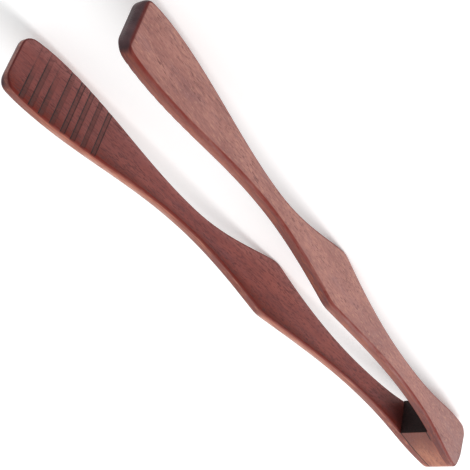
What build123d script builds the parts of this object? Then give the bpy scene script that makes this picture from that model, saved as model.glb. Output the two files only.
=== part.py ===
from build123d import *

import os
from math import atan2, cos, sin, sqrt

# Wooden kitchen tongs: two springy arms glued to a wedge block at the heel.
#
# The tongs lie on one side edge. X runs from the heel to the tips, Y across the jaw and Z up,
# and the origin is under the middle of the bounding box. The arms are sawn and sanded together,
# so one side outline shapes both arms, the block and the glue lines. The right arm is modelled
# and mirrored for the left. Each arm bends at its slim neck, which is the tongs' only spring.

# Overall sizes, mm
length = 280.0  # heel end to tips
heel_gap = 8.4  # between the arms' inner faces at the heel end
tip_gap = 48.0  # the same at the tips, with nothing squeezed
arm_thickness = 4.5
heel_thickness = 2.4  # each arm is sanded thinner towards the heel end
heel_taper = 48.0  # length of that sanded stretch

# Side outline: distance from the heel end, then height above and below the centre line
heel_half = 11.4
heel_end_radius = 29.4  # the heel end is sanded round
heel_crown = -5.0  # height at which it reaches furthest back
neck_x, neck_above, neck_below = 69.5, 5.7, 4.7
grip_x, grip_above, grip_below = 136.7, 10.9, 14.1
waist_x, waist_above, waist_below = 187.0, 5.0, 4.4
paddle_above_back, paddle_above = 11.4, 12.9  # distance from the tips
paddle_below_back, paddle_below = 17.4, 11.4
tip_above, tip_below = 11.7, 9.4

# Slopes of the outline where it isn't level, as rise over run
heel_slope = 0.04
grip_rise_above, grip_fall_above = 0.11, 0.18
grip_rise_below, grip_fall_below = 0.27, 0.19
tip_slope = 0.24

# How far each sweep of the outline holds its first and its last slope, as shares of its run
heel_holds = (0.42, 0.55)
grip_rise_holds = (0.3, 0.4)
grip_fall_holds = (0.25, 0.4)
paddle_holds = (0.38, 0.34)
tip_holds = (0.36, 0.3)

# Rounded corners and arrises
heel_corner = 5.5
grip_corner = 12.0
tip_corner_above = 4.4
tip_corner_below = 4.6
tip_nose = 2.8  # outer side of the tip end, seen from above
outer_round = 1.5
inner_round = 1.0

# Wedge block and glue
wedge_length = 34.6  # heel end to the middle of its front face
wedge_skew = 8.0  # degrees that the front face is out of square
glue_thickness = 0.25

# Bending neck: the stretch of each arm that acts as the spring
neck_lead = 7.4  # from the middle of the wedge block's front face
neck_length = 30.0

# Grip grooves across the inner faces, counted from the tip
groove_count = 8
groove_first = 7.0  # tip to the first groove's near edge
groove_pitch = 4.87
groove_width = 2.1
groove_depth = 0.35

splay = atan2((tip_gap - heel_gap) / 2, length)
heel_end = -length / 2  # X of the heel end
neck_start = wedge_length + neck_lead
neck_end = neck_start + neck_length
reach = 2 * tip_gap  # longer than any piece is wide, for cutting solids


def level_curve(start, end, start_slope, end_slope, holds):
    """Curve between two stations that leaves and arrives at the given slopes."""
    run = end[0] - start[0]
    leave = (start[0] + holds[0] * run, start[1] + start_slope * holds[0] * run)
    arrive = (end[0] - holds[1] * run, end[1] - end_slope * holds[1] * run)
    return Bezier(start, leave, arrive, end)


def heel_back(height):
    """How far the round heel end has fallen back from its furthest point at a height."""
    return heel_end_radius - sqrt(heel_end_radius**2 - (height - heel_crown)**2)


def half_outline(side, neck, grip, waist, paddle, tip, rise, fall):
    """Curves of the side outline from heel to tip; side is 1 above and -1 below."""
    heel_point = (heel_back(side * heel_half), side * heel_half)
    neck_point = (neck_x, side * neck)
    grip_point = (grip_x, side * grip)
    waist_point = (waist_x, side * waist)
    paddle_point = (paddle[0], side * paddle[1])
    tip_point = (length, side * tip)
    level_curve(heel_point, neck_point, -side * heel_slope, 0, heel_holds)
    level_curve(neck_point, grip_point, 0, side * rise, grip_rise_holds)
    level_curve(grip_point, waist_point, -side * fall, 0, grip_fall_holds)
    level_curve(waist_point, paddle_point, 0, 0, paddle_holds)
    level_curve(paddle_point, tip_point, 0, -side * tip_slope, tip_holds)


# Side outline of the whole tongs as a solid that runs right across the jaw
with BuildPart() as outline_prism:
    with BuildSketch(Plane.XZ):
        with BuildLine():
            half_outline(1, neck_above, grip_above, waist_above, (length - paddle_above_back, paddle_above),
                         tip_above, grip_rise_above, grip_fall_above)
            half_outline(-1, neck_below, grip_below, waist_below, (length - paddle_below_back, paddle_below),
                         tip_below, grip_rise_below, grip_fall_below)
            ThreePointArc((heel_back(-heel_half), -heel_half), (0, heel_crown),
                          (heel_back(heel_half), heel_half))
            Line((length, -tip_below), (length, tip_above))
        make_face()
    extrude(amount=reach, both=True)
    across = outline_prism.edges().filter_by(Axis.Y)
    fillet(across.filter_by_position(Axis.X, 0, neck_x / 2), radius=heel_corner)
    across = outline_prism.edges().filter_by(Axis.Y)
    fillet(across.group_by(Axis.X)[-1].group_by(Axis.Z)[0], radius=tip_corner_below)
    across = outline_prism.edges().filter_by(Axis.Y)
    at_tip = across.filter_by_position(Axis.X, length - 0.01, length + 0.01)
    fillet(at_tip.filter_by_position(Axis.Z, 0, 2 * tip_above), radius=tip_corner_above)
    corners = outline_prism.edges().filter_by(Axis.Y)
    fillet(corners.filter_by_position(Axis.X, grip_x - 1, grip_x + 1), radius=grip_corner)

lowest = outline_prism.part.bounding_box().min.Z
outline = outline_prism.part.moved(Location((heel_end, 0, -lowest)))


def inner_y(x):
    """Y of the right arm's inner face at a distance x from the heel end."""
    return -heel_gap / 2 - x * (tip_gap - heel_gap) / 2 / length


def outer_y(x):
    """Y of the right arm's outer face where it is straight."""
    return inner_y(x) - arm_thickness / cos(splay)


# Plan of the right arm, seen from above
with BuildSketch(Plane((heel_end, 0, 0))) as arm_plan:
    with BuildLine():
        Line((0, inner_y(0)), (length, inner_y(length)))
        Line((length, inner_y(length)), (length, outer_y(length)))
        Line((length, outer_y(length)), (heel_taper, outer_y(heel_taper)))
        TangentArc((heel_taper, outer_y(heel_taper)), (0, inner_y(0) - heel_thickness),
                   tangent=(-cos(splay), sin(splay)))
        Line((0, inner_y(0) - heel_thickness), (0, inner_y(0)))
    make_face()

# Whole right arm, with its outer arris rounded and then the outer side of the tip end
with BuildPart() as arm_blank:
    extrude(arm_plan.sketch, amount=reach)
    add(outline, mode=Mode.INTERSECT)
    outward = Vector(-sin(splay), -cos(splay), 0)
    outer_faces = arm_blank.faces().filter_by(lambda f: f.normal_at().dot(outward) > 0.99)
    seam_x = heel_end + heel_taper
    rim = outer_faces.edges().filter_by(
        lambda e: not (abs(e.center().X - seam_x) < 0.01 and abs(e.tangent_at(0.5).Z) > 0.99)
    )
    fillet(rim, radius=outer_round)
    with BuildSketch() as nosed_plan:
        add(arm_plan.sketch)
        fillet(nosed_plan.vertices().sort_by(Axis.Y)[0], radius=tip_nose)
    extrude(amount=reach, mode=Mode.INTERSECT)


def cross_plane(distance):
    """Plane square across the tongs at a distance from the heel end, facing the tips."""
    return Plane(origin=(heel_end + distance, 0, 0), z_dir=(1, 0, 0))


def inner_arris(part):
    """Long arrises and tip edge of the inner face, without the sawn ends of the stretch."""
    inward = Vector(sin(splay), cos(splay), 0)
    face = part.faces().filter_by(lambda f: f.normal_at().dot(inward) > 0.999).sort_by(SortBy.AREA)[-1]
    cuts = (heel_end + neck_start, heel_end + neck_end)
    return face.edges().filter_by(lambda e: min(abs(e.center().X - x) for x in cuts) > 0.01)


# Stretch of the right arm that is glued to the wedge block
with BuildPart() as right_arm_heel:
    add(arm_blank.part)
    split(bisect_by=cross_plane(neck_start), keep=Keep.BOTTOM)

# Slim stretch that bends
with BuildPart() as right_arm_neck:
    add(arm_blank.part)
    split(bisect_by=cross_plane(neck_start), keep=Keep.TOP)
    split(bisect_by=cross_plane(neck_end), keep=Keep.BOTTOM)
    fillet(inner_arris(right_arm_neck), radius=inner_round)

# Stretch that swings, with the grip and the grooved paddle
with BuildPart() as right_arm:
    add(arm_blank.part)
    split(bisect_by=cross_plane(neck_end), keep=Keep.TOP)
    fillet(inner_arris(right_arm), radius=inner_round)
    inner_plane = Plane(
        origin=(heel_end, inner_y(0), 0),
        x_dir=(cos(splay), -sin(splay), 0),
        z_dir=(sin(splay), cos(splay), 0),
    )
    along = length / cos(splay)
    with BuildSketch(inner_plane):
        for i in range(groove_count):
            near_edge = along - groove_first - i * groove_pitch
            with Locations((near_edge - groove_width / 2, 0)):
                Rectangle(groove_width, reach)
    extrude(amount=-groove_depth, mode=Mode.SUBTRACT)


def wedge_profile(side_gap):
    """Plan of the wedge, with each side drawn in from the arm by side_gap."""
    front = 2 * wedge_length
    back_half = -inner_y(0) - side_gap
    front_half = -inner_y(front) - side_gap
    return Polyline((0, -back_half), (front, -front_half), (front, front_half), (0, back_half), close=True)


# Front face of the wedge block, out of square as it was sawn, facing the tips
front_plane = Plane(
    origin=(heel_end + wedge_length, 0, -lowest),
    z_dir=Vector(1, 0, 0).rotate(Axis.Y, -wedge_skew),
)

# Wedge block between the arms
with BuildPart() as wedge_block:
    with BuildSketch(Plane((heel_end, 0, 0))):
        with BuildLine():
            wedge_profile(glue_thickness)
        make_face()
    extrude(amount=reach)
    add(outline, mode=Mode.INTERSECT)
    split(bisect_by=front_plane, keep=Keep.BOTTOM)

# Cured glue between the wedge block and the right arm
with BuildPart() as right_glue_line:
    with BuildSketch(Plane((heel_end, 0, 0))):
        with BuildLine():
            wedge_profile(0)
        make_face()
        with BuildLine():
            wedge_profile(glue_thickness)
        make_face(mode=Mode.SUBTRACT)
    extrude(amount=reach)
    add(outline, mode=Mode.INTERSECT)
    split(bisect_by=front_plane, keep=Keep.BOTTOM)
    split(bisect_by=Plane.XZ, keep=Keep.TOP)

# Left-hand pieces are the right-hand ones mirrored
with BuildPart() as left_arm_heel:
    add(mirror(right_arm_heel.part, about=Plane.XZ))
with BuildPart() as left_arm_neck:
    add(mirror(right_arm_neck.part, about=Plane.XZ))
with BuildPart() as left_arm:
    add(mirror(right_arm.part, about=Plane.XZ))
with BuildPart() as left_glue_line:
    add(mirror(right_glue_line.part, about=Plane.XZ))

os.makedirs("parts", exist_ok=True)
pieces = {
    "wedge_block": wedge_block,
    "right_glue_line": right_glue_line,
    "left_glue_line": left_glue_line,
    "right_arm_heel": right_arm_heel,
    "right_arm_neck": right_arm_neck,
    "right_arm": right_arm,
    "left_arm_heel": left_arm_heel,
    "left_arm_neck": left_arm_neck,
    "left_arm": left_arm,
}
for name, piece in pieces.items():
    piece.part.label = name
    export_step(piece.part, f"parts/{name}.step")
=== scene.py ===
from math import atan, cos, radians, sin, sqrt

import bmesh
import bpy
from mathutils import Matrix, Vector


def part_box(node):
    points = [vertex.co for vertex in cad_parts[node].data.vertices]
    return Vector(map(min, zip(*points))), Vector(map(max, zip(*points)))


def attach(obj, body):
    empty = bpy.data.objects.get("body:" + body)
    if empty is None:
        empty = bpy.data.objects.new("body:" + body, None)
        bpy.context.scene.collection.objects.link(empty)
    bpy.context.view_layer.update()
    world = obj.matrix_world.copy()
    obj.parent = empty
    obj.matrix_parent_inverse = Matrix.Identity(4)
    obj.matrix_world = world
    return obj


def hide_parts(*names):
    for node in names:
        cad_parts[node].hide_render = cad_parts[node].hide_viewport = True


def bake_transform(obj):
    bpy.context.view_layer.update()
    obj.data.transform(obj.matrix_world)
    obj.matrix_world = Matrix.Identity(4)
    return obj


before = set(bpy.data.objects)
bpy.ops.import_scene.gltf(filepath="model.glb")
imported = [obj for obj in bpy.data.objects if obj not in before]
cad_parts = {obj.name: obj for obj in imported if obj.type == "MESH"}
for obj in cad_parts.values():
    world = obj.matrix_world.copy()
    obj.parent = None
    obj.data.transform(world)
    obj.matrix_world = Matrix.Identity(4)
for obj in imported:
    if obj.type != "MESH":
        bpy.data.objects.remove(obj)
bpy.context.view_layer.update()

# ---------------------------------------------------------------------------------------------
# Arms. Each is one straight plank of red-brown stained hardwood, sawn to the tongs' outline and
# sanded with soft arrises. The plank thins towards the heel, where it is glued to the wedge
# block, and the inner face is grooved across near the tip. The slim neck bends as the spring.
# ---------------------------------------------------------------------------------------------
MM = 0.001
HEEL_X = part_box("wedge_block")[0].x
LENGTH = round((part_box("left_arm")[1].x - HEEL_X) / MM, 3)

# Plan, mm: straight inner faces that spread from the heel to the tips
HEEL_HALF_GAP, TIP_HALF_GAP = 4.2, 24.0
SPLAY = atan((TIP_HALF_GAP - HEEL_HALF_GAP) / LENGTH)
THICKNESS, HEEL_THICKNESS, HEEL_TAPER = 4.5, 2.4, 48.0
OUTER_ROUND, INNER_ROUND = 1.5, 1.0
TIP_NOSE = 2.8
WEDGE_FRONT = 34.6
ROUNDED_FROM = 33.4  # the inner arrises are rounded from here to the tip
SMOOTH_BELOW = radians(32)  # faces that meet at less than this are shaded as one

# Side outline, mm: distance from the heel end, height from the centre line, and slopes
HEEL_HALF, HEEL_RADIUS, HEEL_CORNER, HEEL_SLOPE = 11.4, 29.4, 5.5, 0.04
HEEL_CORNER_DROP = 0.2  # the heel corners' arcs sit this much inside the heel's half height
NECK_X, GRIP_X, WAIST_X = 69.5, 136.7, 187.0
TIP_SLOPE = 0.24
ABOVE = {"crown": -5.0, "neck": 5.7, "grip": 10.9, "rise": 0.11, "fall": 0.18, "waist": 5.0,
         "paddle_x": LENGTH - 11.4, "paddle": 12.9, "tip": 11.7, "corner": 4.4}
BELOW = {"crown": 5.0, "neck": 4.7, "grip": 14.1, "rise": 0.27, "fall": 0.19, "waist": 4.4,
         "paddle_x": LENGTH - 17.4, "paddle": 11.4, "tip": 9.4, "corner": 4.6}
GRIP_ROUND = 2.8  # half length of the rounded grip corner
CENTRE_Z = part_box("left_arm")[1].z - ABOVE["paddle"] * MM


def level_curve(x, start, end, start_slope, end_slope, start_hold, end_hold):
    """Height at x of a smooth sweep between two stations, leaving and arriving at given slopes."""
    run = end[0] - start[0]
    xs = (start[0], start[0] + start_hold * run, end[0] - end_hold * run, end[0])
    hs = (start[1], start[1] + start_slope * start_hold * run,
          end[1] - end_slope * end_hold * run, end[1])

    def bezier(values, t):
        a, b, c, d = values
        return (1 - t)**3 * a + 3 * (1 - t)**2 * t * b + 3 * (1 - t) * t**2 * c + t**3 * d

    low, high = 0.0, 1.0
    for _ in range(40):
        middle = (low + high) / 2
        if bezier(xs, middle) < x:
            low = middle
        else:
            high = middle
    return bezier(hs, (low + high) / 2)


def sharp_half_height(x, side):
    """Height of the outline above or below the centre line, before the corners are rounded."""
    heel_back = HEEL_RADIUS - sqrt(HEEL_RADIUS**2 - (HEEL_HALF - side["crown"])**2)
    stations = ((heel_back, HEEL_HALF), (NECK_X, side["neck"]), (GRIP_X, side["grip"]),
                (WAIST_X, side["waist"]), (side["paddle_x"], side["paddle"]), (LENGTH, side["tip"]))
    if x < NECK_X:
        return level_curve(x, stations[0], stations[1], -HEEL_SLOPE, 0, 0.42, 0.55)
    if x < GRIP_X:
        return level_curve(x, stations[1], stations[2], 0, side["rise"], 0.3, 0.4)
    if x < WAIST_X:
        return level_curve(x, stations[2], stations[3], -side["fall"], 0, 0.25, 0.4)
    if x < side["paddle_x"]:
        return level_curve(x, stations[3], stations[4], 0, 0, 0.38, 0.34)
    return level_curve(x, stations[4], stations[5], 0, -TIP_SLOPE, 0.36, 0.3)


def half_height(x, side):
    """The same with the heel corner, the grip corner and the tip corner rounded."""
    if abs(x - GRIP_X) < GRIP_ROUND:
        t = (x - GRIP_X + GRIP_ROUND) / (2 * GRIP_ROUND)
        before = sharp_half_height(GRIP_X - GRIP_ROUND, side)
        after = sharp_half_height(GRIP_X + GRIP_ROUND, side)
        return (1 - t)**2 * before + 2 * t * (1 - t) * side["grip"] + t**2 * after
    height = sharp_half_height(x, side)
    from_tip, corner = LENGTH - x, side["corner"]
    if from_tip < corner:
        height -= corner - sqrt(max(0, corner**2 - (corner - from_tip)**2))
    if x < 3 * HEEL_CORNER:
        # The round heel end, and the corner arc that touches both it and the outline
        reach, crown = HEEL_RADIUS - HEEL_CORNER, side["crown"]
        corner_z = HEEL_HALF - HEEL_CORNER - HEEL_CORNER_DROP
        corner_x = HEEL_RADIUS - sqrt(reach**2 - (corner_z - crown)**2)
        touch = HEEL_RADIUS - (HEEL_RADIUS - corner_x) * HEEL_RADIUS / reach
        if x < touch:
            return crown + sqrt(max(0, HEEL_RADIUS**2 - (HEEL_RADIUS - x)**2))
        if x < corner_x:
            return min(height, corner_z + sqrt(HEEL_CORNER**2 - (corner_x - x)**2))
    return height


def inner_y(x):
    """Distance of the arm's inner face from the middle of the jaw."""
    return HEEL_HALF_GAP + (TIP_HALF_GAP - HEEL_HALF_GAP) * x / LENGTH


def quarter_round(distance, radius):
    """How far a face falls back at a distance from an end that is rounded over."""
    if distance >= radius:
        return 0.0
    return radius - sqrt(max(0, radius**2 - (radius - distance)**2))


def arm_section(x):
    """Inner y, outer y, lowest z and highest z of an arm at a distance from the heel end, mm."""
    inner = inner_y(x)
    outer = inner + THICKNESS / cos(SPLAY)
    if x < HEEL_TAPER:
        outer -= (THICKNESS - HEEL_THICKNESS) * (1 - x / HEEL_TAPER)**2
    outer -= quarter_round(x, OUTER_ROUND) + quarter_round(LENGTH - x, TIP_NOSE)
    inner += quarter_round(LENGTH - x, INNER_ROUND / 2)
    return inner, outer, -half_height(x, BELOW), half_height(x, ABOVE)


# Where the sections are drawn, mm from the heel end: close together at the round ends
HEEL_PLACES = [0.2, 0.5, 0.9, 1.4, 2.0, 2.7, 3.5, 4.4, 5.4, 6.6, 8.0, 9.6]
JOINT_PLACES = [12 + 3.5 * i for i in range(7)]
ARM_PLACES = (
    HEEL_PLACES + JOINT_PLACES + [ROUNDED_FROM, ROUNDED_FROM + 0.6]
    + [37 + 4.0 * i for i in range(25)]
    + [GRIP_X + GRIP_ROUND * s for s in (-1, -0.5, 0, 0.5, 1)]
    + [143 + 4.0 * i for i in range(33)]
    + [LENGTH - s for s in (6.5, 4.8, 3.6, 2.8, 2.2, 1.6, 1.1, 0.7, 0.4, 0.18, 0.05, 0.0)])
AT_PLACE = 0.01 * MM  # a point this close to a section belongs to it


def pick(piece, kind, test):
    """Selects the verts, edges or faces for which the test holds, and nothing else."""
    bpy.ops.mesh.select_mode(type={"verts": "VERT", "edges": "EDGE", "faces": "FACE"}[kind])
    bpy.ops.mesh.select_all(action="DESELECT")
    shape = bmesh.from_edit_mesh(piece.data)
    for element in getattr(shape, kind):
        if test(element):
            element.select_set(True)
    shape.select_flush_mode()
    bmesh.update_edit_mesh(piece.data)


def start_bar(name, x, step, depth, height):
    """A short bar at the heel end, its mesh in edit mode; the piece is then drawn out of it."""
    bpy.ops.object.select_all(action="DESELECT")
    middle = (HEEL_X + (x + step / 2) * MM, 0, CENTRE_Z)
    bpy.ops.mesh.primitive_cube_add(size=1, location=middle)
    piece = bpy.context.object
    piece.name = piece.data.name = name
    piece.scale = (step * MM, depth * MM, height * MM)
    bpy.ops.object.transform_apply(location=True, rotation=True, scale=True)
    bpy.ops.object.mode_set(mode="EDIT")
    return piece


def fit_end(piece, x, old, new):
    """Moves the bar's end at x from the old section to the new one, arrises kept in height."""
    at = HEEL_X + x * MM

    def here(v):
        return abs(v.co.x - at) < AT_PLACE

    middle = Vector((at, (old[0] + old[1]) / 2 * MM, CENTRE_Z))
    pick(piece, "verts", here)
    thicker = (new[1] - new[0]) / (old[1] - old[0])
    bpy.ops.transform.resize(value=(1, thicker, 1), center_override=middle)
    bpy.ops.transform.translate(value=(0, (new[0] + new[1] - old[0] - old[1]) / 2 * MM, 0))
    divide = CENTRE_Z + (old[2] + old[3]) / 2 * MM
    pick(piece, "verts", lambda v: here(v) and v.co.z > divide)
    bpy.ops.transform.translate(value=(0, 0, (new[3] - old[3]) * MM))
    pick(piece, "verts", lambda v: here(v) and v.co.z < divide)
    bpy.ops.transform.translate(value=(0, 0, (new[2] - old[2]) * MM))


def draw_out(piece, places, section):
    """Extrudes the bar's far end from place to place, fitting the section at each."""
    for before, after in zip(places, places[1:]):
        at = HEEL_X + before * MM
        pick(piece, "faces", lambda f: all(abs(v.co.x - at) < AT_PLACE for v in f.verts))
        bpy.ops.mesh.extrude_region_move(
            TRANSFORM_OT_translate={"value": ((after - before) * MM, 0, 0)})
        fit_end(piece, after, section(before), section(after))


def swell_inner_arris(piece, x, factor):
    """Grows or shrinks the rounding of both inner arrises at x, about the square corners."""
    at, near = HEEL_X + x * MM, 1.05 * INNER_ROUND * MM
    inner, _, low, high = (value * MM for value in arm_section(x))
    for corner_z in (CENTRE_Z + low, CENTRE_Z + high):
        pick(piece, "verts", lambda v: abs(v.co.x - at) < AT_PLACE
             and abs(v.co.z - corner_z) < near and v.co.y < inner + near)
        bpy.ops.transform.resize(value=(1, factor, factor), center_override=(at, inner, corner_z))


# The left arm is drawn out from the heel to the tip. Its inner arrises start square in the glue
# joint and are rounded from the front of the wedge block on.
BLANK_HALF = 8  # half height of the plank's first short bar
SQUARE = 0.02  # the share of its rounding that an inner arris keeps inside the glue joint
first, second = ARM_PLACES[:2]
left_arm = start_bar("left_arm_wood", first, second - first, THICKNESS, 2 * BLANK_HALF)
for is_outer, radius, segments in ((True, OUTER_ROUND, 6), (False, INNER_ROUND, 4)):
    pick(left_arm, "edges", lambda e: abs(e.verts[0].co.x - e.verts[1].co.x) > AT_PLACE
         and (e.verts[0].co.y > 0) == is_outer)
    bpy.ops.mesh.bevel(offset=radius * MM, segments=segments, clamp_overlap=False)
blank = (-THICKNESS / 2, THICKNESS / 2, -BLANK_HALF, BLANK_HALF)
for place in (first, second):
    fit_end(left_arm, place, blank, arm_section(place))
    swell_inner_arris(left_arm, place, SQUARE)
to_wedge = [place for place in ARM_PLACES if place <= ROUNDED_FROM]
draw_out(left_arm, to_wedge[1:], arm_section)
beyond_wedge = [place for place in ARM_PLACES if place >= ROUNDED_FROM]
draw_out(left_arm, beyond_wedge[:2], arm_section)
swell_inner_arris(left_arm, beyond_wedge[1], 1 / SQUARE)
draw_out(left_arm, beyond_wedge[1:], arm_section)

# Grooves: each falls steeply on its tip side and rises gently towards the heel. The cutter went
# deepest along the upper edge, so some grooves fade out before they reach the lower one.
GROOVE_DEPTH = 0.30
# Each groove's tip side, mm from the heel end; how far across it runs; how marked its heel side is
GROOVE_LINES = (
    (273.0, 0.50, 0.35), (268.6, 0.85, 0.35), (263.9, 0.60, 0.35), (258.6, 1.0, 0.35),
    (253.5, 1.0, 1.0), (248.75, 1.0, 0.7), (244.0, 1.0, 0.45), (238.9, 1.0, 1.0))
GROOVE_MIDDLE = 1.2  # back from the tip side; past here a mark belongs to the heel side
# Distance back from the tip side, mm; share of the depth; how dark the cut's line is; floor
GROOVE_PROFILE = (
    (-0.1, 0.0, 0.0, 0.0), (0.0, 0.5, 1.0, 0.6), (0.5, 1.0, 1.0, 1.0), (0.65, 0.9, 0.0, 1.0),
    (1.75, 0.35, 0.0, 0.8), (1.85, 0.3, 0.85, 0.7), (2.15, 0.0, 0.8, 0.0), (2.3, 0.0, 0.0, 0.0))
EDGE_SLACK = 0.005  # a point this close to a stretch of the profile belongs to it
GROOVED_FROM = 230
CROSS_CUTS = (-9, -6.5, -4, -1.5, 1, 3.5, 6, 8.5)  # heights where a groove's depth can change
PADDLE_TOP, PADDLE_ACROSS = 12, 22  # height of the paddle's upper edge, and its run across
FADE = 0.24  # share of the way across over which a groove fades out
FADED_DEPTH, FADED_LINE = 0.25, 0.3  # what a faded groove keeps of its depth and of its line
FLOOR_LOSS = 0.45  # how much the floor's dark stain weakens towards the lower edge


def on_grooved_face(face):
    return face.normal.y < -0.08 and face.calc_center_median().x > HEEL_X + GROOVED_FROM * MM


for line, *_ in GROOVE_LINES:
    for back, *_ in GROOVE_PROFILE:
        pick(left_arm, "faces", on_grooved_face)
        bpy.ops.mesh.bisect(plane_co=(HEEL_X + (line - back) * MM, 0, 0), plane_no=(1, 0, 0))
for height in CROSS_CUTS:
    pick(left_arm, "faces", on_grooved_face)
    bpy.ops.mesh.bisect(plane_co=(0, 0, CENTRE_Z + height * MM), plane_no=(0, 0, 1))
bpy.ops.object.mode_set(mode="OBJECT")


def between_0_and_1(value):
    return min(1.0, max(0.0, value))


def groove_at(co):
    """Depth, line and floor shares of the grooves at a point of the inner face."""
    x, z = (co.x - HEEL_X) / MM, (co.z - CENTRE_Z) / MM
    for line, reach, heel_side in GROOVE_LINES:
        back = line - x
        for (near, *start), (far, *end) in zip(GROOVE_PROFILE, GROOVE_PROFILE[1:]):
            if near - EDGE_SLACK <= back <= far + EDGE_SLACK:
                share = between_0_and_1((back - near) / (far - near))
                across = (PADDLE_TOP - z) / PADDLE_ACROSS
                left = between_0_and_1((reach + FADE / 2 - across) / FADE) if reach < 1 else 1.0
                floor_left = left * (1 - FLOOR_LOSS * between_0_and_1(across))
                depth, dark, floor = (a + (b - a) * share for a, b in zip(start, end))
                dark *= heel_side if back > GROOVE_MIDDLE else 1.0
                depth *= FADED_DEPTH + (1 - FADED_DEPTH) * left
                dark *= FADED_LINE + (1 - FADED_LINE) * left
                return depth, dark, floor * floor_left
    return 0.0, 0.0, 0.0


def store(piece, name, kind, values):
    """Keeps one number or vector per vertex on the mesh, for the materials to read."""
    layer = piece.data.attributes.new(name, kind, "POINT")
    layer.data.foreach_set("vector" if kind == "FLOAT_VECTOR" else "value", values)


# What the finish needs to know at each point: which way it faces, and where it is in the plank
outward = Vector((-sin(SPLAY), cos(SPLAY), 0))
lengthways = Vector((cos(SPLAY), sin(SPLAY), 0))
inner_plane = Vector((HEEL_X, HEEL_HALF_GAP * MM, 0)).dot(outward)
facing, run_out, upper, across, along = [], [], [], [], []
in_plank, groove_line, groove_floor = [], [], []
sunk = left_arm.vertex_groups.new(name="groove_depth")
for vertex in left_arm.data.vertices:
    side = vertex.normal.dot(outward)
    facing.append(side)
    run_out.append(vertex.normal.dot(lengthways))
    height, place = (vertex.co.z - CENTRE_Z) / MM, (vertex.co.x - HEEL_X) / MM
    upper.append(height / max(3.0, half_height(place, ABOVE if height > 0 else BELOW)))
    across.append((vertex.co.dot(outward) - inner_plane) / (THICKNESS * MM))
    along.append(place)
    in_plank += [vertex.co.dot(lengthways), vertex.co.dot(outward), vertex.co.z]
    depth, dark, floor = groove_at(vertex.co) if side < -0.05 else (0.0, 0.0, 0.0)
    on_flat = between_0_and_1((-side - 0.55) / 0.35)  # the arrises were rounded after the cuts
    groove_line.append(dark * on_flat)
    groove_floor.append(floor * on_flat)
    sunk.add([vertex.index], depth * on_flat, "REPLACE")
store(left_arm, "facing", "FLOAT", facing)
store(left_arm, "run_out", "FLOAT", run_out)
store(left_arm, "upper", "FLOAT", upper)
store(left_arm, "across", "FLOAT", across)
store(left_arm, "along", "FLOAT", along)
store(left_arm, "in_plank", "FLOAT_VECTOR", in_plank)
store(left_arm, "groove_line", "FLOAT", groove_line)
store(left_arm, "groove_floor", "FLOAT", groove_floor)

bpy.ops.object.select_all(action="DESELECT")
left_arm.select_set(True)
bpy.context.view_layer.objects.active = left_arm
sink = left_arm.modifiers.new("grooves", "DISPLACE")
sink.direction = "Y"
sink.mid_level = 0.0
sink.strength = GROOVE_DEPTH * MM
sink.vertex_group = "groove_depth"
bpy.ops.object.modifier_apply(modifier=sink.name)
bpy.ops.object.shade_smooth_by_angle(angle=SMOOTH_BELOW)


def make_active(piece):
    """Selects this piece alone, for the operators that follow."""
    bpy.ops.object.select_all(action="DESELECT")
    piece.select_set(True)
    bpy.context.view_layer.objects.active = piece


def mirrored_copy(piece, name):
    """A copy with its own mesh, turned over to the other side of the jaw."""
    make_active(piece)
    bpy.ops.object.duplicate()
    copy = bpy.context.object
    copy.name = copy.data.name = name
    bpy.ops.object.mode_set(mode="EDIT")
    bpy.ops.mesh.select_all(action="SELECT")
    bpy.ops.transform.mirror(constraint_axis=(False, True, False), center_override=(0, 0, 0))
    bpy.ops.mesh.normals_make_consistent(inside=False)
    bpy.ops.object.mode_set(mode="OBJECT")
    return copy


# The right arm is the same shape turned over, cut from another place in the wood
OTHER_PLANK = (0.37, 0.11, 0.0)
right_arm = mirrored_copy(left_arm, "right_arm_wood")
for point in right_arm.data.attributes["in_plank"].data:
    point.vector += Vector(OTHER_PLANK)

for arm in (left_arm, right_arm):
    make_active(arm)
    even = arm.modifiers.new("even_shading", "WEIGHTED_NORMAL")
    even.keep_sharp = True
    bpy.ops.object.modifier_apply(modifier=even.name)


def linear(red, green, blue):
    """A finish colour, given on a 0 to 255 scale, as the linear light the shader takes."""
    def channel(value):
        value /= 255
        return value / 12.92 if value <= 0.04045 else ((value + 0.055) / 1.055)**2.4
    return channel(red), channel(green), channel(blue), 1.0


def new_group(name, inputs, outputs):
    """An empty shader node group with named sockets, and its input and output nodes."""
    group = bpy.data.node_groups.new(name, "ShaderNodeTree")
    for label, kind, default in inputs:
        socket = group.interface.new_socket(label, in_out="INPUT", socket_type=kind)
        if default is not None:
            socket.default_value = default
    for label, kind in outputs:
        group.interface.new_socket(label, in_out="OUTPUT", socket_type=kind)
    return group, group.nodes.new("NodeGroupInput"), group.nodes.new("NodeGroupOutput")


def add_node(tree, kind, **values):
    """A node with its settings, and its inputs set where a name matches one."""
    node = tree.nodes.new(kind)
    for key, value in values.items():
        if key in node.inputs:
            node.inputs[key].default_value = value
        else:
            setattr(node, key, value)
    return node


def ramp(tree, value, low, high, to_low=0.0, to_high=1.0):
    """A soft step: the value's stretch from low to high becomes to_low to to_high."""
    node = add_node(tree, "ShaderNodeMapRange", interpolation_type="SMOOTHSTEP")
    for name, setting in (("From Min", low), ("From Max", high),
                          ("To Min", to_low), ("To Max", to_high)):
        node.inputs[name].default_value = setting
    tree.links.new(value, node.inputs["Value"])
    return node.outputs["Result"]


def calculate(tree, operation, first, second):
    """One sum on two values, either of which may be a plain number."""
    node = add_node(tree, "ShaderNodeMath", operation=operation)
    for socket, value in zip(node.inputs, (first, second)):
        if isinstance(value, (int, float)):
            socket.default_value = value
        else:
            tree.links.new(value, socket)
    return node.outputs["Value"]


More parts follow.
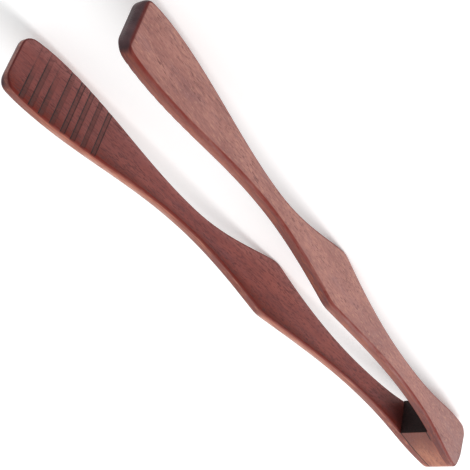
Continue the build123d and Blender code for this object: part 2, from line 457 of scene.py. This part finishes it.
def tint(tree, share, base, colour):
    """The base colour with another laid over it, as much as share says."""
    node = add_node(tree, "ShaderNodeMix", data_type="RGBA", blend_type="MIX")
    share_in, base_in, colour_in = (node.inputs[i] for i in (0, 6, 7))  # the colour sockets
    for socket, value in ((share_in, share), (base_in, base), (colour_in, colour)):
        if isinstance(value, (int, float, tuple)):
            socket.default_value = value
        else:
            tree.links.new(value, socket)
    return node.outputs[2]


def streaks(tree, vector, scale, detail=3.0, roughness=0.55):
    """Noise drawn out by the three scales: repeats per metre along, through and up the plank."""
    stretch = add_node(tree, "ShaderNodeVectorMath", operation="MULTIPLY")
    tree.links.new(vector, stretch.inputs[0])
    stretch.inputs[1].default_value = scale
    grain = add_node(tree, "ShaderNodeTexNoise", Scale=1.0, Detail=detail, Roughness=roughness)
    tree.links.new(stretch.outputs["Vector"], grain.inputs["Vector"])
    return grain.outputs["Fac"]


# Grain of the hardwood: long growth streaks, short dark pores, and a broad uneven take-up of stain
grain_group, group_in, group_out = new_group(
    "hardwood_grain", [("Plank", "NodeSocketVector", None)],
    [("Streaks", "NodeSocketFloat"), ("Pores", "NodeSocketFloat"), ("Stain", "NodeSocketFloat"),
     ("Height", "NodeSocketFloat")])
plank = group_in.outputs["Plank"]
wavy = streaks(grain_group, plank, (22, 60, 60), detail=2.0)
bent = add_node(grain_group, "ShaderNodeVectorMath", operation="MULTIPLY_ADD")
grain_group.links.new(wavy, bent.inputs[0])
bent.inputs[1].default_value = (0.0, 0.0011, 0.0016)
grain_group.links.new(plank, bent.inputs[2])
plank = bent.outputs["Vector"]
broad_streaks = streaks(grain_group, plank, (28, 380, 420), detail=4.0, roughness=0.6)
fine_streaks = streaks(grain_group, plank, (110, 1500, 1700), detail=3.0, roughness=0.65)
streak_value = calculate(grain_group, "ADD", calculate(grain_group, "MULTIPLY", broad_streaks, 0.4),
                         calculate(grain_group, "MULTIPLY", fine_streaks, 0.6))
pore_noise = streaks(grain_group, plank, (420, 2300, 2500), detail=2.0, roughness=0.5)
pore_patches = streaks(grain_group, plank, (35, 240, 260), detail=2.0)
pore_value = calculate(grain_group, "MULTIPLY", ramp(grain_group, pore_noise, 0.54, 0.66),
                       ramp(grain_group, pore_patches, 0.35, 0.65, 0.25, 1.0))
stain_value = streaks(grain_group, plank, (38, 110, 120), detail=3.0, roughness=0.6)
grain_height = calculate(
    grain_group, "SUBTRACT", calculate(grain_group, "MULTIPLY", fine_streaks, 0.5),
    calculate(grain_group, "MULTIPLY", pore_value, 0.6))
for label, result in (
        ("Streaks", ramp(grain_group, streak_value, 0.34, 0.66)), ("Pores", pore_value),
        ("Stain", ramp(grain_group, stain_value, 0.3, 0.7)), ("Height", grain_height)):
    grain_group.links.new(result, group_out.inputs[label])


def use_group(tree, group, vector):
    """The group as one node of a tree, its first input fed with the place in the wood."""
    node = tree.nodes.new("ShaderNodeGroup")
    node.node_tree = group
    tree.links.new(vector, node.inputs[0])
    return node


def read(tree, name, output="Fac"):
    """An attribute kept on the mesh."""
    return add_node(tree, "ShaderNodeAttribute", attribute_name=name).outputs[output]


def finish_wood(name):
    """An empty material with a shader set for oiled, stained hardwood; returns it and its tree."""
    material = bpy.data.materials.new(name)
    material.use_nodes = True
    tree = material.node_tree
    tree.nodes.clear()
    shader = add_node(tree, "ShaderNodeBsdfPrincipled")
    shader.inputs["IOR"].default_value = 1.46
    shader.inputs["Specular IOR Level"].default_value = 0.38
    shader.inputs["Coat Weight"].default_value = 0.06
    shader.inputs["Coat Roughness"].default_value = 0.3
    output = tree.nodes.new("ShaderNodeOutputMaterial")
    tree.links.new(shader.outputs["BSDF"], output.inputs["Surface"])
    return material, tree, shader


GRAIN_RELIEF, GLUE_RELIEF = 0.12 * MM, 0.08 * MM  # how deep the fine relief looks


def bump(tree, shader, height, distance):
    """Fine relief, too small to model."""
    node = add_node(tree, "ShaderNodeBump", Distance=distance)
    tree.links.new(height, node.inputs["Height"])
    tree.links.new(node.outputs["Normal"], shader.inputs["Normal"])


# Stain on the arms, with painted light and shade mixed in: rosy brown outside, deep red-brown
# inside, warmer on the sawn edges
arm_stain, group_in, group_out = new_group(
    "arm_stain",
    [("Plank", "NodeSocketVector", None)]
    + [(label, "NodeSocketFloat", 0.0) for label in (
        "Facing", "Run Out", "Upper", "Across", "Along", "Groove Floor", "Groove Line",
        "End Wear")]
    + [(label, "NodeSocketColor", None) for label in (
        "Edge Inner", "Edge Outer", "Edge Shaded", "Edge Streak")],
    [("Color", "NodeSocketColor"), ("Roughness", "NodeSocketFloat"), ("Height", "NodeSocketFloat")])
tree, given = arm_stain, group_in.outputs
at, facing, run_out = given["Plank"], given["Facing"], given["Run Out"]
upper, across, along = given["Upper"], given["Across"], given["Along"]
grain = use_group(tree, grain_group, at).outputs
dark_streaks = ramp(tree, grain["Streaks"], 0.55, 0.05)
blotch = streaks(tree, at, (60, 190, 210), detail=4.0, roughness=0.7)

outside = tint(tree, grain["Stain"], linear(142, 88, 80), linear(172, 118, 106))
outside = tint(tree, ramp(tree, blotch, 0.5, 0.72, 0.0, 0.5), outside, linear(134, 92, 94))
outside = tint(tree, ramp(tree, upper, 0.2, 1.0, 0.0, 0.45), outside, linear(140, 82, 72))
# Painted sheen: the outer face turns paler and greyer towards the lower edge, where it begins to
# round over
outside = tint(tree, ramp(tree, upper, -0.3, -1.0, 0.0, 0.5), outside, linear(184, 134, 120))
outside = tint(tree, ramp(tree, along, 75, 10, 0.0, 0.75), outside, linear(128, 80, 74))
outside = tint(tree, calculate(tree, "MULTIPLY", dark_streaks, 0.4), outside, linear(126, 78, 74))
flecks = streaks(tree, at, (300, 1300, 1300), detail=3.0, roughness=0.7)
outside = tint(tree, ramp(tree, flecks, 0.53, 0.68, 0.0, 0.32), outside, linear(204, 152, 126))
outside = tint(tree, ramp(tree, flecks, 0.48, 0.34, 0.0, 0.4), outside, linear(112, 66, 64))
outside = tint(tree, calculate(tree, "MULTIPLY", grain["Pores"], 0.75), outside, linear(98, 52, 52))
# The grooved end has taken up more stain than the handle. The corner by the block is darker partly
# from more stain and partly from painted shade, where the arm meets the block
inside = tint(tree, grain["Stain"], linear(136, 64, 58), linear(162, 86, 76))
inside = tint(tree, ramp(tree, blotch, 0.5, 0.72, 0.0, 0.45), inside, linear(112, 64, 70))
inside = tint(tree, ramp(tree, along, 195, 245, 0.0, 0.85), inside, linear(130, 64, 58))
inside = tint(tree, ramp(tree, along, 64, 36, 0.0, 0.9), inside, linear(70, 26, 22))
inside = tint(tree, ramp(tree, upper, 0.35, 0.95, 0.0, 1.0), inside, linear(110, 32, 14))
# Painted sheen: the inner face turns paler towards the lower edge, where it begins to round over
inside = tint(tree, ramp(tree, upper, -0.3, -1.0, 0.0, 0.45), inside, linear(160, 104, 100))
inside = tint(tree, calculate(tree, "MULTIPLY", dark_streaks, 0.4), inside, linear(104, 50, 48))
inside = tint(tree, ramp(tree, flecks, 0.5, 0.34, 0.0, 0.6), inside, linear(84, 36, 38))
inside = tint(tree, calculate(tree, "MULTIPLY", grain["Pores"], 0.7), inside, linear(78, 28, 28))
edge = tint(tree, ramp(tree, across, 0.15, 0.85), given["Edge Inner"], given["Edge Outer"])
# Painted shade: the sawn edge darkens where it turns towards the tip, away from the lamp
edge = tint(tree, ramp(tree, run_out, -0.16, 0.12, 0.0, 0.9), edge, given["Edge Shaded"])
edge_grain = streaks(tree, at, (65, 1300, 1100), detail=4.0, roughness=0.65)
edge = tint(tree, ramp(tree, edge_grain, 0.5, 0.62, 0.0, 0.5), edge, given["Edge Streak"])
edge = tint(tree, ramp(tree, blotch, 0.45, 0.7, 0.0, 0.4), edge, linear(160, 84, 56))
edge = tint(tree, calculate(tree, "MULTIPLY", dark_streaks, 0.5), edge, linear(128, 62, 48))

colour = tint(tree, ramp(tree, facing, 0.25, 0.9), edge, outside)
colour = tint(tree, ramp(tree, facing, -0.35, -0.9), colour, inside)
# A dark red line along the rounded arrises
line_noise = streaks(tree, at, (45, 300, 300), detail=3.0)
turned = calculate(tree, "ABSOLUTE", facing, 0.0)
arris = calculate(tree, "MULTIPLY", ramp(tree, turned, 0.15, 0.6), ramp(tree, turned, 1.0, 0.95))
arris = calculate(tree, "MULTIPLY", arris, ramp(tree, line_noise, 0.25, 0.6, 0.55, 1.0))
arris = calculate(tree, "MULTIPLY", arris, ramp(tree, along, 1.0, 7.0, 0.2, 1.0))
colour = tint(tree, arris, colour, linear(112, 28, 14))
# Cut ends drink the most stain, with a red rim where they meet the faces. Their near-black colour
# is partly painted shade
to_end = calculate(tree, "ABSOLUTE", run_out, 0.0)
rim = calculate(tree, "MULTIPLY", ramp(tree, to_end, 0.04, 0.3), ramp(tree, turned, 0.35, 0.6))
colour = tint(tree, rim, colour, linear(92, 22, 18))
worn = calculate(tree, "MULTIPLY", ramp(tree, across, 0.62, 0.3), given["End Wear"])
unworn = calculate(tree, "SUBTRACT", 1.0, worn)
ends = calculate(tree, "MULTIPLY", ramp(tree, to_end, 0.3, 0.72), unworn)
end_grain_and_shade = tint(tree, grain["Stain"], linear(52, 26, 32), linear(84, 54, 58))
colour = tint(tree, ends, colour, end_grain_and_shade)
# Grooves are dull and darker in the floor, with a nearly black line where each cut starts or ends;
# the line is partly painted shade, for cut walls too narrow to shade themselves
floor, line = given["Groove Floor"], given["Groove Line"]
floor_noise = streaks(tree, at, (260, 300, 900), detail=2.0)
floor_share = calculate(tree, "MULTIPLY", floor, ramp(tree, floor_noise, 0.3, 0.7, 0.5, 0.95))
colour = tint(tree, floor_share, colour, linear(88, 52, 48))
line_share = calculate(tree, "MULTIPLY", line, ramp(tree, floor_noise, 0.25, 0.6, 0.8, 1.0))
colour = tint(tree, line_share, colour, linear(40, 12, 10))
tree.links.new(colour, group_out.inputs["Color"])

rough = calculate(tree, "ADD", ramp(tree, grain["Stain"], 0.0, 1.0, 0.42, 0.52),
                  calculate(tree, "MULTIPLY", grain["Pores"], 0.15))
rough = calculate(tree, "SUBTRACT", rough, calculate(tree, "MULTIPLY", ends, 0.12))
rough = calculate(tree, "ADD", rough, calculate(tree, "MULTIPLY", arris, 0.3))
rough = calculate(tree, "ADD", rough, calculate(tree, "MULTIPLY", floor, 0.12))
tree.links.new(rough, group_out.inputs["Roughness"])
tree.links.new(grain["Height"], group_out.inputs["Height"])


def arm_finish(name, end_wear, **edge_colours):
    """The stain, with its painted light and shade, in a material of its own, read from what is kept
    on the mesh.
    """
    material, tree, shader = finish_wood(name)
    stain = use_group(tree, arm_stain, read(tree, "in_plank", "Vector"))
    for label in ("Facing", "Run Out", "Upper", "Across", "Along", "Groove Floor", "Groove Line"):
        tree.links.new(read(tree, label.lower().replace(" ", "_")), stain.inputs[label])
    stain.inputs["End Wear"].default_value = end_wear
    for label, colour in edge_colours.items():
        stain.inputs["Edge " + label.capitalize()].default_value = colour
    tree.links.new(stain.outputs["Color"], shader.inputs["Base Color"])
    tree.links.new(stain.outputs["Roughness"], shader.inputs["Roughness"])
    bump(tree, shader, stain.outputs["Height"], GRAIN_RELIEF)
    return material


# The left arm's sawn edges turn pale pink towards the outer face: a painted highlight
left_arm.data.materials.clear()
left_arm.data.materials.append(arm_finish(
    "left_arm_stain", end_wear=0.75, inner=linear(162, 88, 68), outer=linear(212, 166, 152),
    shaded=linear(130, 78, 74), streak=linear(206, 136, 108)))
right_arm.data.materials.clear()
right_arm.data.materials.append(arm_finish(
    "right_arm_stain", end_wear=0.0, inner=linear(170, 112, 100), outer=linear(120, 62, 52),
    shaded=linear(102, 52, 52), streak=linear(168, 92, 66)))

# Each arm's mesh is baked into place, and the CAD pieces of its heel, neck and arm are hidden
for arm, body in ((left_arm, "left_arm"), (right_arm, "right_arm")):
    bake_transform(arm)
    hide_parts(body + "_heel", body + "_neck", body)

# ---------------------------------------------------------------------------------------------
# Wedge block. A short tapered block of the same hardwood holds the heels apart. It was glued in
# long and sanded flush with the arms, and its front is sawn a little out of square, end grain.
# ---------------------------------------------------------------------------------------------
GLUE = 0.25  # thickness of each glue line
WEDGE_SKEW = radians(8.0)  # how far the front face leans from square
BLOCK_PLACES = HEEL_PLACES + JOINT_PLACES + [35.0, 37.5]


def saw_front(piece):
    """Cuts the piece off along the block's front face and closes the cut."""
    front = Vector((HEEL_X + WEDGE_FRONT * MM, 0, CENTRE_Z))
    bpy.ops.mesh.select_all(action="SELECT")
    bpy.ops.mesh.bisect(plane_co=front, plane_no=(cos(WEDGE_SKEW), 0, sin(WEDGE_SKEW)),
                        use_fill=True, clear_outer=True)


def wedge_section(x):
    """The block's section, its sides a glue line short of the arms' inner faces."""
    half = inner_y(x) - GLUE
    return -half, half, -half_height(x, BELOW), half_height(x, ABOVE)


first, second = BLOCK_PLACES[:2]
BAR_HALF = 3  # half height of the first short bar, and the block's half width in it
wedge = start_bar("wedge_wood", first, second - first, 2 * BAR_HALF, 2 * BAR_HALF)
for place in (first, second):
    fit_end(wedge, place, (-BAR_HALF, BAR_HALF, -BAR_HALF, BAR_HALF), wedge_section(place))
draw_out(wedge, BLOCK_PLACES[1:], wedge_section)
saw_front(wedge)
# The front edges are eased a hair, as sandpaper leaves them
pick(wedge, "faces", lambda f: f.normal.x > 0.9)
bpy.ops.mesh.region_to_loop()
bpy.ops.mesh.bevel(offset=0.18 * MM, segments=2, clamp_overlap=True)
bpy.ops.object.mode_set(mode="OBJECT")
bpy.ops.object.shade_smooth_by_angle(angle=SMOOTH_BELOW)

# The block's finish: the same stain, paler at the heel half, nearly black on the sawn front, where
# the dark end grain is deepened with painted shadow
wedge_stain, tree, shader = finish_wood("wedge_stain")
place_at = add_node(tree, "ShaderNodeTexCoord")
moved = add_node(tree, "ShaderNodeMapping")
moved.inputs["Location"].default_value = (0.61, 0.23, 0.0)
tree.links.new(place_at.outputs["Object"], moved.inputs["Vector"])
grain = use_group(tree, grain_group, moved.outputs["Vector"]).outputs
turned = add_node(tree, "ShaderNodeSeparateXYZ")
tree.links.new(place_at.outputs["Normal"], turned.inputs[0])
spot = add_node(tree, "ShaderNodeSeparateXYZ")
tree.links.new(place_at.outputs["Object"], spot.inputs[0])
colour = tint(tree, grain["Stain"], linear(158, 94, 78), linear(184, 122, 98))
colour = tint(tree, calculate(tree, "MULTIPLY", ramp(tree, grain["Streaks"], 0.5, 0.1), 0.5),
              colour, linear(132, 76, 66))
colour = tint(tree, calculate(tree, "MULTIPLY", grain["Pores"], 0.5), colour, linear(96, 46, 42))
sawn = streaks(tree, moved.outputs["Vector"], (900, 700, 2600), detail=2.0)
front_colour = tint(tree, ramp(tree, sawn, 0.35, 0.65), linear(26, 11, 11), linear(40, 20, 20))
towards_front = ramp(tree, spot.outputs["X"], HEEL_X + 14 * MM, HEEL_X + 32 * MM, 0.0, 0.85)
colour = tint(tree, towards_front, colour, linear(114, 64, 58))
# Glue soaked into the block for a hair beside each joint, the whole way on the left side and
# only near the front on the right
GLUE_SOAK, SOAK_EDGE = 0.45, 0.15  # how far from the block's side the stain of glue starts and ends
spread = calculate(tree, "MULTIPLY", calculate(tree, "SUBTRACT", spot.outputs["X"], HEEL_X),
                   (TIP_HALF_GAP - HEEL_HALF_GAP) / LENGTH)
for is_left in (True, False):
    sideways = calculate(tree, "MULTIPLY", spot.outputs["Y"], 1.0 if is_left else -1.0)
    beside = calculate(tree, "SUBTRACT", sideways, spread)
    block_side = HEEL_HALF_GAP - GLUE
    soaked = ramp(tree, beside, (block_side - GLUE_SOAK) * MM, (block_side - SOAK_EDGE) * MM)
    if not is_left:
        at_front = ramp(tree, spot.outputs["X"], HEEL_X + 26.5 * MM, HEEL_X + 29 * MM)
        soaked = calculate(tree, "MULTIPLY", soaked, at_front)
    colour = tint(tree, calculate(tree, "MULTIPLY", soaked, 0.9), colour, linear(48, 18, 16))
heel_share = ramp(tree, turned.outputs["X"], -0.5, -0.8, 0.0, 0.9)
colour = tint(tree, heel_share, colour, linear(92, 54, 50))
# The sawn front: dark end grain, with painted shadow for the shade between the arms
front_share = ramp(tree, turned.outputs["X"], 0.5, 0.8)
colour = tint(tree, front_share, colour, front_colour)
tree.links.new(colour, shader.inputs["Base Color"])
rough = calculate(tree, "ADD", ramp(tree, grain["Stain"], 0.0, 1.0, 0.42, 0.52),
                  calculate(tree, "MULTIPLY", front_share, 0.2))
tree.links.new(rough, shader.inputs["Roughness"])
relief = calculate(tree, "ADD", grain["Height"], calculate(tree, "MULTIPLY", sawn, front_share))
bump(tree, shader, relief, GRAIN_RELIEF)
wedge.data.materials.clear()
wedge.data.materials.append(wedge_stain)
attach(wedge, "heel")
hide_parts("wedge_block")

# ---------------------------------------------------------------------------------------------
# Glue lines. Dark wood glue cured between the block and each arm, scraped and sanded flush. The
# left one stayed thick to the heel; the right one is thick only at the front of the block.
# ---------------------------------------------------------------------------------------------


def glue_section(x):
    """The left glue line's section, between the block and the left arm."""
    return inner_y(x) - GLUE, inner_y(x), -half_height(x, BELOW), half_height(x, ABOVE)


left_glue = start_bar("left_glue", first, second - first, 2 * GLUE, 2 * BAR_HALF)
for place in (first, second):
    fit_end(left_glue, place, (-GLUE, GLUE, -BAR_HALF, BAR_HALF), glue_section(place))
draw_out(left_glue, BLOCK_PLACES[1:], glue_section)
saw_front(left_glue)
bpy.ops.object.mode_set(mode="OBJECT")
right_glue = mirrored_copy(left_glue, "right_glue")

# Cured glue, dark and a little lumpy, and wood colour where it runs out
cured_glue, group_in, group_out = new_group(
    "cured_glue", [("Place", "NodeSocketVector", None), ("Run Out", "NodeSocketFloat", 0.0)],
    [("Color", "NodeSocketColor"), ("Roughness", "NodeSocketFloat"), ("Height", "NodeSocketFloat")])
tree, at = cured_glue, group_in.outputs["Place"]
grain = use_group(tree, grain_group, at).outputs
lumps = streaks(tree, at, (500, 500, 500), detail=3.0)
glue_colour = tint(tree, ramp(tree, lumps, 0.35, 0.65), linear(34, 10, 10), linear(62, 24, 20))
wood_colour = tint(tree, grain["Stain"], linear(150, 86, 72), linear(176, 112, 92))
tree.links.new(tint(tree, group_in.outputs["Run Out"], glue_colour, wood_colour),
               group_out.inputs["Color"])
tree.links.new(ramp(tree, lumps, 0.3, 0.7, 0.3, 0.5), group_out.inputs["Roughness"])
tree.links.new(lumps, group_out.inputs["Height"])

# The left line never runs out, so its marks lie behind the heel end; the right one thins to wood
for piece, runs_out_from, runs_out_by in ((left_glue, -0.9, -1.0), (right_glue, 29.0, 25.5)):
    glue_finish, tree, shader = finish_wood(piece.name + "_cured")
    place_at = add_node(tree, "ShaderNodeTexCoord")
    cured = use_group(tree, cured_glue, place_at.outputs["Object"])
    place = add_node(tree, "ShaderNodeSeparateXYZ")
    tree.links.new(place_at.outputs["Object"], place.inputs[0])
    thin = ramp(tree, place.outputs["X"], HEEL_X + runs_out_from * MM, HEEL_X + runs_out_by * MM)
    tree.links.new(thin, cured.inputs["Run Out"])
    tree.links.new(cured.outputs["Color"], shader.inputs["Base Color"])
    tree.links.new(cured.outputs["Roughness"], shader.inputs["Roughness"])
    bump(tree, shader, cured.outputs["Height"], GLUE_RELIEF)
    piece.data.materials.clear()
    piece.data.materials.append(glue_finish)
    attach(piece, "heel")
    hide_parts(piece.name.split("_")[0] + "_glue_line")

# ---------------------------------------------------------------------------------------------
# Studio. A pale seamless floor under the tongs, even white surroundings, and one wide soft lamp
# beyond the heel, a little in front.
# ---------------------------------------------------------------------------------------------
bpy.ops.mesh.primitive_plane_add(size=6, location=(0, 0, 0))
floor = bpy.context.object
floor.name = "studio_floor"
paper = bpy.data.materials.new("studio_paper")
paper.use_nodes = True
tree = paper.node_tree
shader = tree.nodes["Principled BSDF"]
place_at = add_node(tree, "ShaderNodeTexCoord")
fibres = streaks(tree, place_at.outputs["Object"], (4, 4, 4), detail=2.0)
fibre_share = ramp(tree, fibres, 0.3, 0.7)
paper_colour = tint(tree, fibre_share, (0.86, 0.86, 0.86, 1), (0.88, 0.88, 0.88, 1))
tree.links.new(paper_colour, shader.inputs["Base Color"])
shader.inputs["Roughness"].default_value = 0.9
shader.inputs["Emission Color"].default_value = (1.0, 1.0, 1.0, 1)
shader.inputs["Emission Strength"].default_value = 0.25  # keeps the floor's shadows faint
floor.data.materials.append(paper)

world = bpy.data.worlds.new("studio_surround")
world.use_nodes = True
world.node_tree.nodes["Background"].inputs["Color"].default_value = (1.0, 1.0, 1.0, 1)
world.node_tree.nodes["Background"].inputs["Strength"].default_value = 0.62
bpy.context.scene.world = world

bpy.ops.object.light_add(type="AREA", location=(-1.35, -0.42, 0.85))
lamp = bpy.context.object
lamp.name = "soft_lamp"
lamp.data.shape = "DISK"
lamp.data.size = 1.0
lamp.data.energy = 26.0
lamp.rotation_euler = (Vector((0, 0, 0)) - lamp.location).to_track_quat("-Z", "Y").to_euler()

bpy.ops.object.camera_add(location=(0.30178, -0.25211, 0.25000),
                          rotation=(radians(-56.3158), radians(15.1939), radians(-124.0318)))
camera = bpy.context.object
camera.name = "studio_camera"
camera.data.sensor_width = 36
camera.data.lens = 90.04
camera.data.clip_start = 0.01
bpy.context.scene.camera = camera
bpy.context.scene.view_settings.view_transform = "Standard"
